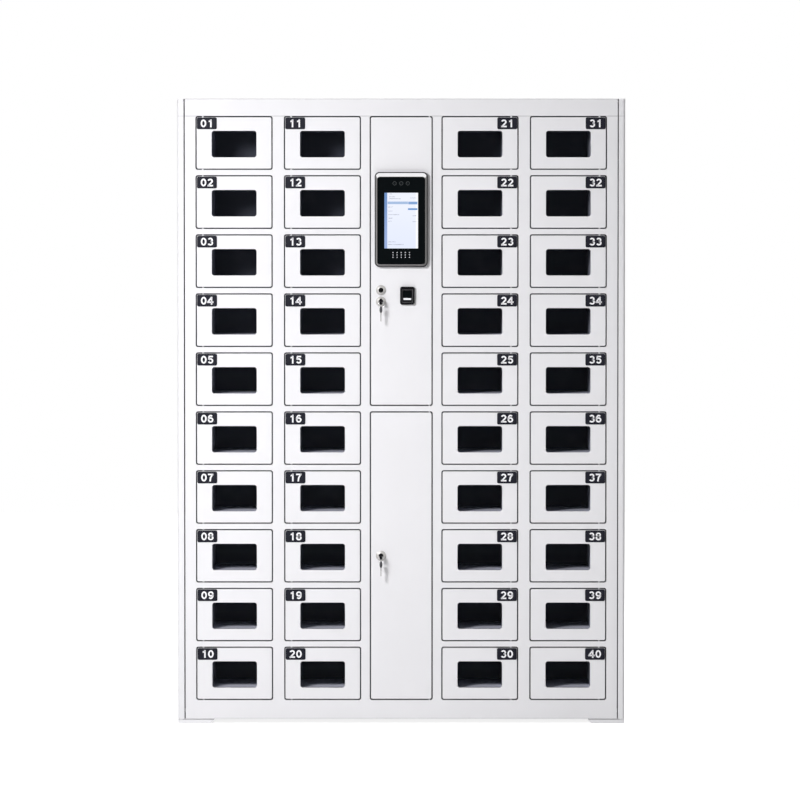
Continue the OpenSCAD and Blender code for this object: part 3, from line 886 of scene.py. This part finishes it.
def shell_plates(coat):
    """Top, bottom, bay walls and bay shelf."""
    half = SHELL_HIGH.x - SHEET
    fold = GRID_HIGH.x + GROOVE - SEAM
    front, back = SHELL_LOW.y, SHELL_HIGH.y
    for name, z in (("top_panel", SHELL_HIGH.z - SHEET), ("bottom_panel", SHELL_LOW.z)):
        plate = bar(name, (-fold, front, z), (fold, back, z + SHEET), coat, 0.5 * MM)
        wings = [bar("wing", (x, front + LIP_DEPTH + SEAM, z), (x + half - fold, back, z + SHEET), coat,
                     0.3 * MM) for x in (-half, fold)]
        put(join(name, [plate] + wings), "cabinet", "cabinet_paint", "cabinet_shell")
    wall_low, wall_high = SHELL_LOW.z + SHEET, SHELL_HIGH.z - SHEET
    walls = [bar("wall", (x, BAY_WALL_FRONT, wall_low), (x + SHEET, BACK_LOW.y, wall_high), coat,
                 0.3 * MM) for x in (-BAY_WALL_X - SHEET, BAY_WALL_X)]
    shelf = bar("shelf", (-BAY_WALL_X, BAY_WALL_FRONT, BAY_SHELF_Z),
                (BAY_WALL_X, BACK_LOW.y, BAY_SHELF_Z + SHEET), coat, 0.3 * MM)
    put(join("bay_walls", walls + [shelf]), "cabinet", "cabinet_paint", "cabinet_shell")


def terminal_shell(dark):
    """The terminal's dark housing, behind its ring."""
    wide, tall = front_size(TERMINAL_LOW, TERMINAL_HIGH)
    at = front_middle(TERMINAL_LOW, TERMINAL_HIGH)
    at.y += 5 * MM
    shell = rounded_plate("terminal_shell", wide, tall, at, TERMINAL_HIGH.y - at.y, 9 * MM, 8)
    soften(shell, 0.6 * MM, 3)
    smooth(shell, 40)
    put(paint(shell, dark), "upper_service_door", "terminal_case", "face_terminal")


def terminal_ring(satin, bright):
    """Satin ring: flat round the glass, sloped back to its outer edge, with a brow made bright as a painted
    highlight.
    """
    wide, tall = front_size(TERMINAL_LOW, TERMINAL_HIGH)
    at = front_middle(TERMINAL_LOW, TERMINAL_HIGH)
    margin, band, thick = 1.9 * MM, 2.5 * MM, 7 * MM
    slope, seat = 3 * MM, 1.6 * MM
    half_x, half_z = wide / 2 - margin, tall / 2 - margin
    glass_middle = (GLASS_LOW + GLASS_HIGH) / 2
    glass_half = (GLASS_HIGH - GLASS_LOW) / 2
    ring = rounded_plate("terminal_ring", 2 * half_x, 2 * half_z, at, thick, 8 * MM, 8)

    def past_glass(place, by):
        return (abs(place.x - glass_middle.x) > glass_half.x + by
                or abs(place.z - glass_middle.z) > glass_half.z + by)

    with Bench(ring) as bench:
        bench.pick("faces", lambda f: f.normal.y < -0.9)
        bpy.ops.mesh.inset(thickness=band)
        bench.resize(at, glass_half.x / (half_x - band), 1, glass_half.z / (half_z - band))
        bench.move(z=glass_middle.z - at.z)
        bench.pick("verts", lambda v: v.co.y < at.y + 0.1 * MM and past_glass(v.co, 0.6 * MM))
        bench.move(y=slope)
        bench.pick("faces", lambda f: f.normal.y < -0.999 and not past_glass(middle(f), -20 * MM))
        bench.pull_faces(y=seat)
    soften(ring, 0.4 * MM, 3, angle=30)
    smooth(ring, 40)
    paint(ring, satin)
    # Painted highlight: the brow's upward-facing slopes take the bright polished metal instead of the
    # ring's satin, standing in for the light they catch from above.
    repaint(ring, bright, lambda f: f.normal.z > 0.15 and f.normal.y < -0.5
            and middle(f).z > GLASS_HIGH.z + 0.1 * MM)
    put(ring, "upper_service_door", "terminal_case", "face_terminal")


def terminal_glass(black, lens, hoop_grey, speaker):
    """Dark glass with three hooped sensors near its top and speaker holes near its foot."""
    clear, thick, corner = 0.4 * MM, 1.2 * MM, 2.5 * MM
    wide, tall = front_size(GLASS_LOW, GLASS_HIGH)
    at = front_middle(GLASS_LOW, GLASS_HIGH)
    at.y = GLASS_FACE
    glass = rounded_plate("terminal_glass_front", wide - clear, tall - clear, at, thick, corner)
    soften(glass, 0.3 * MM, 2)
    smooth(glass)
    details = [paint(glass, black)]

    lens_pitch, lens_radius, hoop_radius = 13 * MM, 2.6 * MM, 3.45 * MM
    for i in (-1, 0, 1):
        at_lens = Vector((at.x + i * lens_pitch, GLASS_FACE - 0.05 * MM, TERMINAL_LOW.z + 163.8 * MM))
        details.append(disc("lens", at_lens, lens_radius, 0.5 * MM, lens, "Y", 0.15 * MM, 32))
        at_hoop = at_lens + Vector((0, 0.3, 0)) * MM
        details.append(hoop(at_hoop, hoop_radius, 0.5 * MM, hoop_grey, 32, 8))

    hole_pitch, row_pitch, hole_radius = 8.1 * MM, 4.65 * MM, 1.15 * MM
    for column in range(-2, 3):
        for row in range(3):
            at_hole = (at.x + column * hole_pitch, GLASS_FACE - 0.02 * MM,
                       TERMINAL_LOW.z + 18.9 * MM + row * row_pitch)
            details.append(disc("hole", at_hole, hole_radius, 0.3 * MM, speaker, "Y", 0.08 * MM, 12, 1))
    put(join("terminal_glass_front", details), "upper_service_door", "terminal_glass", "terminal_glass")


def terminal_screen():
    """The lit screen, a skin on the glass."""
    size, lift, proud = Vector((66, 0, 109)) * MM, 36.3 * MM, 0.22 * MM
    at = front_middle(TERMINAL_LOW, TERMINAL_HIGH)
    at.y = GLASS_FACE
    at.z = TERMINAL_LOW.z + lift + size.z / 2
    screen = rounded_plate("terminal_screen", size.x, size.z, at - Vector((0, proud, 0)), 0.1 * MM,
                           0.3 * MM, 2)
    paint(screen, screen_light(at - size / 2, at + size / 2))
    put(screen, "upper_service_door", "terminal_screen")


def fingerprint_reader(black, painted_sheen, window, light):
    """Black reader with a dished tray, a dark sensor window and a lit bar; the tray's sloped walls are a
    lighter grey as painted sheen.
    """
    low, high = READER_LOW, READER_HIGH
    at = front_middle(low, high)
    wide, tall = front_size(low, high)
    rim, slope, sunk, tray_drop = 3 * MM, 1.7 * MM, 1.8 * MM, 0.8 * MM
    body = rounded_plate("reader_body", wide, tall, at, high.y - low.y, 4 * MM)
    with Bench(body) as bench:
        bench.pick("faces", lambda f: f.normal.y < -0.9)
        bpy.ops.mesh.inset(thickness=rim)
        bench.resize(at, z=0.9)
        bench.move(z=-tray_drop)
        bpy.ops.mesh.inset(thickness=slope)
        bench.move(y=sunk)
    soften(body, 0.5 * MM, 3, angle=25)
    smooth(body, 40)
    paint(body, black)
    inside = 2.2 * MM
    # Painted sheen: the tray's sloped walls get a lighter grey than the black body, standing in for the
    # light they catch.
    repaint(body, painted_sheen, lambda f: 0.4 < -f.normal.y < 0.9 and middle(f).y < low.y + 2 * MM
            and abs(middle(f).x - at.x) < wide / 2 - inside
            and abs(middle(f).z - at.z) < tall / 2 - inside)

    def tray_bar(name, half, bottom, top, proud, material, soft, steps):
        front, back = low.y + sunk - proud, low.y + sunk + 0.4 * MM
        return bar(name, (at.x - half, front, at.z + bottom), (at.x + half, back, at.z + top),
                   material, soft, steps)

    glass = tray_bar("sensor", 7.8 * MM, -4.3 * MM, 8.7 * MM, 0.6 * MM, window, 0.3 * MM, 2)
    lit = tray_bar("lit_bar", 7.6 * MM, -8.5 * MM, -4.9 * MM, 0.7 * MM, light, 0.5 * MM, 3)
    put(join("reader_body", [body, glass, lit]), "upper_service_door", "reader_case", "fingerprint_reader")


def lock_barrel(z, silver):
    """Turned flange with a sloped face round the plug, and the body and nut behind the door."""
    flange_radius, flange_thick = 10 * MM, 3.5 * MM
    slope_wide, slope_deep, inner_band = 4.2 * MM, 2.1 * MM, 0.95 * MM
    flange = add("cylinder", "flange", vertices=64, radius=flange_radius, depth=flange_thick,
                 location=(LOCK_X, FRONT - flange_thick / 2, z), rotation=(math.pi / 2, 0, 0))
    settle(flange)

    def on_rim(vertex):
        return (vertex.co.y < FRONT - flange_thick + 0.1 * MM
                and math.hypot(vertex.co.x - LOCK_X, vertex.co.z - z) > flange_radius - 1 * MM)

    with Bench(flange) as bench:
        bench.pick("faces", lambda f: f.normal.y < -0.99)
        bpy.ops.mesh.inset(thickness=slope_wide)
        bench.pick("verts", on_rim)
        bench.move(y=slope_deep)
        bench.pick("faces", lambda f: f.normal.y < -0.99)
        bpy.ops.mesh.inset(thickness=inner_band)
        bpy.ops.mesh.delete(type="FACE")
    soften(flange, 0.35 * MM, 3, angle=20)
    smooth(flange, 35)
    paint(flange, silver)
    barrel_radius, barrel_long, nut_radius, nut_thick = 8 * MM, 21 * MM, 10.7 * MM, 5 * MM
    barrel = disc("barrel", (LOCK_X, FRONT + barrel_long / 2, z), barrel_radius, barrel_long, silver,
                  "Y", 0.5 * MM, 48)
    nut = disc("nut", (LOCK_X, FRONT + SHEET + nut_thick / 2, z), nut_radius, nut_thick, silver,
               "Y", 0.5 * MM, 6)
    return [flange, barrel, nut]


def lock_plug(z, keyed, black, steel):
    """The turning plug: open at its keyway, or with a key in it and a cam behind it."""
    plug = disc("plug", (LOCK_X, (PLUG_FRONT + PLUG_BACK) / 2, z), 4.75 * MM, PLUG_BACK - PLUG_FRONT,
                black, "Y", 0.5 * MM, 40)
    if not keyed:
        keyway = add("cube", "keyway", size=1, location=(LOCK_X, PLUG_FRONT, z),
                     scale=Vector((2, 12, 6)) * MM)
        carve(plug, settle(keyway))
        return [smooth(plug)]
    cam_front, cam_thick, cam_half, cam_reach = PLUG_BACK + SEAM, 2 * MM, 6 * MM, 29 * MM
    cam = bar("cam", (LOCK_X - cam_half, cam_front, z - cam_reach),
              (LOCK_X + cam_half, cam_front + cam_thick, z + cam_half), steel, 0.4 * MM)
    head = disc("cam_screw", (LOCK_X, cam_front + 3.2 * MM, z), 4 * MM, 2.4 * MM, steel, "Y", 0.6 * MM, 32)
    return [plug, cam, head] + key(z, LOCKED_BOW_Y, 10.8 * MM, False, steel, black)


def key(z, bow_y, long, hanging, steel, black):
    """A key seen edge-on: a moulded lens-shaped bow with an eye, and a notched blade of that length."""
    hub_radius, half_thick, half_rim = 2.5 * MM, 2.75 * MM, 1.5 * MM
    head = add("cylinder", "key_head", vertices=40, radius=BOW_RADIUS, depth=2 * half_thick,
               rotation=(0, math.pi / 2, 0))
    settle(head)
    with Bench(head) as bench:
        bench.pick("faces", lambda f: abs(f.normal.x) > 0.9)
        bpy.ops.mesh.inset(thickness=BOW_RADIUS - hub_radius)
        bench.pick("verts", lambda v: v.co.yz.length > BOW_RADIUS - 0.1 * MM)
        bench.resize((0, 0, 0), x=half_rim / half_thick)
    soften(head, 0.6 * MM, 3, angle=50)
    eye = add("cylinder", "eye", vertices=24, radius=2 * MM, depth=12 * MM,
              location=(0, -EYE_OFFSET, 0), rotation=(0, math.pi / 2, 0))
    carve(head, settle(eye))
    smooth(head, 35)
    paint(head, black)
    half_wide, half_tall, tip = 0.9 * MM, 3 * MM, BOW_RADIUS + long
    blade = bar("key_blade", (-half_wide, BOW_RADIUS - 1.2 * MM, -half_tall), (half_wide, tip, half_tall),
                steel, 0.25 * MM)
    with Bench(blade) as bench:
        cuts = [BOW_RADIUS + 4 * MM + i * 2.2 * MM for i in range(5)]
        bench.cut("Y", [c for c in cuts if c < tip - 1 * MM])
        for depth, place in zip((0.9, 1.5, 0.6, 1.2, 0.8), cuts):
            bench.pick("verts", lambda v, p=place: abs(v.co.y - p) < 0.05 * MM and v.co.z < -2 * MM)
            bench.move(z=depth * MM)
    smooth(blade, 30)
    for part in (head, blade):
        if hanging:
            part.data.transform(Matrix.Rotation(-math.pi / 2, 4, "X"))
        shift(part, (LOCK_X, bow_y, z))
    return [head, blade]


def key_ring(name, z, wire, steel, black):
    """Split ring of two turns of wire through both keys' eyes, with the spare key on it."""
    ring_y = LOCKED_BOW_Y - EYE_OFFSET
    hoops = [hoop((LOCK_X, ring_y + aside * MM, z - RING_RADIUS), RING_RADIUS, 0.36 * MM, wire, 64, 10)
             for aside in (-0.34, 0.34)]
    spare = key(z - 2 * RING_RADIUS - EYE_OFFSET, ring_y, 16.6 * MM, True, steel, black)
    put(join(name + "_set", hoops + spare), name, "key_metal", name)


def locks_and_keys(silver, bright, steel, black, key_grey):
    """Three locks, the keys in two of them, and a ring with a spare key on each of these."""
    upper = lock_barrel(SWITCH_Z, silver) + lock_barrel(UPPER_LOCK_Z, silver)
    put(join("upper_lock_flanges", upper), "upper_service_door", "lock_metal", "upper_lock_barrels")
    lower = lock_barrel(LOWER_LOCK_Z, silver)
    put(join("lower_lock_flange", lower), "lower_service_door", "lock_metal", "lower_lock_barrel")
    for name, z, keyed in (("switch_plug", SWITCH_Z, False), ("upper_lock_plug", UPPER_LOCK_Z, True),
                           ("lower_lock_plug", LOWER_LOCK_Z, True)):
        put(join(name + "_turned", lock_plug(z, keyed, black, steel)), name, "lock_plug", name)
    key_ring("upper_key_ring", UPPER_LOCK_Z, bright, steel, key_grey)
    key_ring("lower_key_ring", LOWER_LOCK_Z, bright, steel, key_grey)


def feet(coat):
    """Two folded runners with slanted inner ends."""
    foot_low, foot_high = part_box("feet")
    long, tall, slant = 72 * MM, foot_high.z - foot_low.z - 0.8 * MM, 7 * MM
    for side in (-1, 1):
        outer = foot_high.x
        runner = facing_sheet("runner", long, tall, (outer - long / 2, foot_low.y, tall / 2))
        with Bench(runner) as bench:
            bench.pick("verts", lambda v: v.co.x < outer - long + MM and v.co.z < MM)
            bench.move(x=slant)
            bench.everything()
            bench.pull_faces(y=foot_high.y - foot_low.y)
            close_up(bench)
        soften(runner, 0.6 * MM, 3)
        smooth(runner)
        paint(runner, coat)
        piece = copy_to(runner, "foot_left" if side < 0 else "foot_right", mirrored=side < 0)
        bpy.data.objects.remove(runner)
        put(piece, "cabinet", "foot_paint", "feet")


def socket_screw(at, radius, deep, material, out=-1):
    """A round screw head with a sunk drive; its seat is at a place, and out is the way it faces."""
    drive_rim, drive_wall, drive_deep = radius * 0.5, radius * 0.04, deep * 0.55
    head = add("cylinder", "screw", vertices=24, radius=radius, depth=deep,
               location=Vector(at) + Vector((0, out * deep / 2, 0)), rotation=(math.pi / 2, 0, 0))
    settle(head)
    with Bench(head) as bench:
        bench.pick("faces", lambda f: f.normal.y * out > 0.9)
        bpy.ops.mesh.inset(thickness=drive_rim)
        bpy.ops.mesh.inset(thickness=drive_wall)
        bench.move(y=-out * drive_deep)
    soften(head, 0.25 * MM, 2, angle=50)
    smooth(head)
    return paint(head, material)


def device(name, half, low_z, tall, deep, slots, case, cover, steel, green):
    """A boxed device on the back panel: tray, slotted cover, terminal strip and fixing screws."""
    back, front, high_z = BACK_LOW.y, BACK_LOW.y - deep, low_z + tall
    tray = bar(name, (-half, front + 9 * MM, low_z), (half, back, high_z), case, 1.2 * MM, 3)

    lid_front, lid_low, lid_high, lid_half = front + 1.6 * MM, low_z + 27 * MM, high_z - MM, half - MM
    lid = rounded_plate("lid", 2 * lid_half, lid_high - lid_low, (0, lid_front, (lid_low + lid_high) / 2),
                        14 * MM, 3 * MM)
    slot_low, slot_pitch, slot_size = lid_low + 29 * MM, 8 * MM, (1.2 * half, 6 * MM, 3 * MM)
    grille = [settle(add("cube", "slot", size=1, location=(0, lid_front, slot_low + i * slot_pitch),
                         scale=slot_size)) for i in range(slots)]
    carve(lid, join("slots", grille))
    soften(lid, 0.8 * MM, 2, angle=50)
    smooth(lid)
    parts = [tray, paint(lid, cover)]
    seat = 0.2 * MM
    parts += [socket_screw((x, lid_front + seat, z), 3 * MM, 1.6 * MM, steel)
              for x in (8 * MM - lid_half, lid_half - 8 * MM)
              for z in (lid_low + 8 * MM, lid_high - 11 * MM)]

    strip_front, strip_low, strip_high = front + 3 * MM, low_z + 5 * MM, low_z + 21 * MM
    strip_half = half - 8 * MM
    parts.append(bar("strip", (-strip_half, strip_front, strip_low),
                     (strip_half, back - 10 * MM, strip_high), green, 0.6 * MM))
    ways = 8
    pitch = (strip_half - 2 * MM) / (ways / 2)
    parts += [socket_screw(((i - (ways - 1) / 2) * pitch, strip_front + seat, (strip_low + strip_high) / 2),
                           2.6 * MM, 1.4 * MM, steel) for i in range(ways)]
    return parts


def electronics(case, cover, steel, green):
    """Terminal controller in the upper bay and power supply in the lower bay."""
    low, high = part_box("control_electronics")
    tall = 180 * MM
    parts = device("controller", 50 * MM, high.z - tall, tall, 38 * MM, 8, case, cover, steel, green)
    parts += device("supply", 45 * MM, low.z, tall, 48 * MM, 12, case, case, steel, green)
    put(join("bay_devices", parts), "cabinet", "electronics_case", "control_electronics")


def back_screws(steel):
    """Screws round the back panel, no prouder than the sides' rear edges."""
    radius, deep = 4 * MM, 1.7 * MM
    side_x, end_z, row_z, side_count = BACK_HIGH.x - 12 * MM, 30 * MM, 14 * MM, 6
    spacing = (SHELL_HIGH.z - SHELL_LOW.z - 2 * end_z) / (side_count - 1)
    places = [(x, SHELL_LOW.z + end_z + i * spacing) for i in range(side_count) for x in (-side_x, side_x)]
    places += [(i * 140 * MM, z) for i in range(-2, 3) for z in (SHELL_LOW.z + row_z, SHELL_HIGH.z - row_z)]
    heads = [socket_screw((x, BACK_HIGH.y - SEAM, z), radius, deep, steel, out=1) for x, z in places]
    put(join("back_screws", heads), "cabinet", "latch_metal")


def finish_cad_nodes(finishes):
    """Gives the CAD nodes that stay visible their materials."""
    for name, material in finishes.items():
        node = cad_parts[name]
        if not node.material_slots:
            node.data.materials.append(material)
        for slot in node.material_slots:
            slot.material = material


# ---------------------------------------------------------------- stage

def square_lamp(name, place, aim, side, power, colour=(1, 1, 1)):
    """A square lamp with its middle at a place, shining at another."""
    data = bpy.data.lights.new(name, "AREA")
    data.shape = "SQUARE"
    data.size = side
    data.energy = power
    data.color = colour
    lamp = bpy.data.objects.new(name, data)
    lamp.location = place
    lamp.rotation_euler = (Vector(aim) - Vector(place)).to_track_quat("-Z", "Y").to_euler()
    bpy.context.scene.collection.objects.link(lamp)


def set_floor():
    """A floor all round the locker."""
    floor = add("plane", "floor", size=12, location=(0, 1.0, 0))
    settle(floor)
    paint(floor, painted_floor())


def set_lamps():
    """A main light high in front on the left, and one behind on the right."""
    square_lamp("window_light", place=(-1.05, FRONT - 2.2, 1.55), aim=(-0.4, FRONT, -1.8), side=0.6,
                power=64.5, colour=(0.972, 0.962, 1.0))
    square_lamp("back_light", place=(2.2, FRONT + 3.1, 2.0), aim=(0, 0, 0.6), side=1.6, power=60)


def set_surround():
    """A white surround where it is seen, mirrored or seen through; as a light it is dim."""
    world = bpy.data.worlds.new("surround")
    world.use_nodes = True
    bpy.context.scene.world = world
    tree = world.node_tree
    start = Wire(tree)
    seen, mirrored, through = [start.node("LightPath", output=f"Is {ray} Ray")
                               for ray in ("Camera", "Glossy", "Transmission")]
    strength = 0.15 + seen.or_more(mirrored).or_more(through) * 0.85
    sky = tree.nodes["Background"]
    sky.inputs["Color"].default_value = (1, 1, 1, 1)
    tree.links.new(strength.socket, sky.inputs["Strength"])


# ---------------------------------------------------------------- assembly

place_camera()
bpy.context.scene.view_settings.view_transform = "Standard"

# After the brightness, each coat's next number is the share of painted shade on the folds turned into the
# gaps.
WHITE = powder_coat("white_coat", 0.80, 0.85, shade_groove_only=True, seam=0.35)
DOOR_WHITE = powder_coat("door_white", 0.81, 0.5)
FRAME_WHITE = powder_coat("frame_white", 0.80, 0.85, seam=0.6)
STEEL = metal("plated_steel", (0.60, 0.60, 0.62), 0.34)
NICKEL = metal("satin_nickel", (0.52, 0.51, 0.49), 0.4, 0.5)
# Polished metal of the key rings, also used as the painted highlight on the terminal's brow.
BRIGHT = metal("polished_steel_and_painted_highlight", (0.93, 0.93, 0.94), 0.15)
SATIN = metal("dark_satin", (0.24, 0.235, 0.23), 0.42, 0.6)
CASE_DARK = plastic("case_dark", (0.014, 0.015, 0.016), 0.38)
BLACK_GLASS = plastic("black_glass", (0.0008, 0.0020, 0.0026), 0.09, 0.03, 300, 0.01)
LENS = plastic("lens_black", (0.006, 0.008, 0.009), 0.08, 0.03, 300, 0.01)
HOOP_GREY = plastic("hoop_grey", (0.050, 0.056, 0.056), 0.4)
SPEAKER = plastic("speaker_grey", (0.45, 0.46, 0.47), 0.5)
BLACK = plastic("satin_black", (0.003, 0.003, 0.004), 0.3, 0.03)
# Grey of the painted sheen on the reader tray's sloped walls.
PAINTED_SHEEN_GREY = plastic("painted_sheen_grey", (0.06, 0.06, 0.062), 0.4, 0.1)
KEY_GREY = plastic("key_grey", (0.045, 0.046, 0.05), 0.42, 0.3)
KEY_STEEL = metal("key_steel", (0.30, 0.29, 0.28), 0.38)
LIT = plastic("lit_white", (0.9, 0.92, 0.95), 0.3)
RUBBER = plastic("grommet_black", (0.01, 0.01, 0.01), 0.6)
GREEN = plastic("terminal_green", (0.02, 0.16, 0.05), 0.45, 0.3)

front_frame(FRAME_WHITE)
phone_doors(DOOR_WHITE, plate_plastic(), number_print(), STEEL, clear_acrylic())
for door in ("upper_service_door", "lower_service_door"):
    service_door(door, DOOR_WHITE, STEEL)
for hand in (-1, 1):
    side_skin(hand, WHITE)
shell_plates(WHITE)
feet(WHITE)
terminal_shell(CASE_DARK)
terminal_ring(SATIN, BRIGHT)
terminal_glass(BLACK_GLASS, LENS, HOOP_GREY, SPEAKER)
terminal_screen()
fingerprint_reader(BLACK, PAINTED_SHEEN_GREY, BLACK_GLASS, LIT)
locks_and_keys(NICKEL, BRIGHT, KEY_STEEL, BLACK, KEY_GREY)
electronics(STEEL, CASE_DARK, NICKEL, GREEN)
back_screws(NICKEL)
finish_cad_nodes({
    "phone_cells": cell_lining(), "back_panel": back_coat(), "electric_locks": STEEL,
    "cable_grommet": RUBBER,
})
set_floor()
set_lamps()
set_surround()
